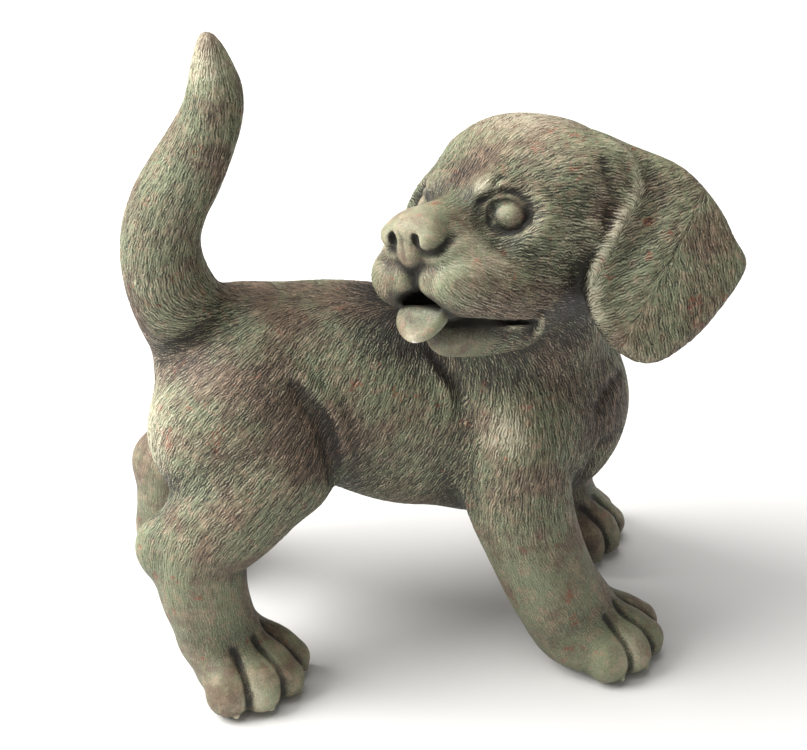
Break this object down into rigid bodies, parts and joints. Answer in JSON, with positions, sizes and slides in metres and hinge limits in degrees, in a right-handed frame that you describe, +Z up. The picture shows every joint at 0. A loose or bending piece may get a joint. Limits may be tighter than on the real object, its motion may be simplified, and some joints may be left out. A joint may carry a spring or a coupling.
{
  "type": "puppy statue",
  "caption": "Life-size standing beagle puppy looking back over its shoulder with its tail up, cast in one piece with combed fur and a worn verdigris bronze finish.",
  "frame": {"origin": "on the ground, under the middle of the bounding box", "axes": "+Z up to the tip of the tail, +X the way the body faces, +Y the puppy's left, so the turned face looks out over -Y"},
  "size_m": [0.3419, 0.2019, 0.3816],
  "materials": {
    "patinated_casting": "cast resin painted as aged bronze: mottled green and brown with pink rust spots, dark in the hollows, satin on the ridges"
  },
  "bodies": {
    "root": {"beagle_puppy": "patinated_casting"}
  },
  "joints": []
}
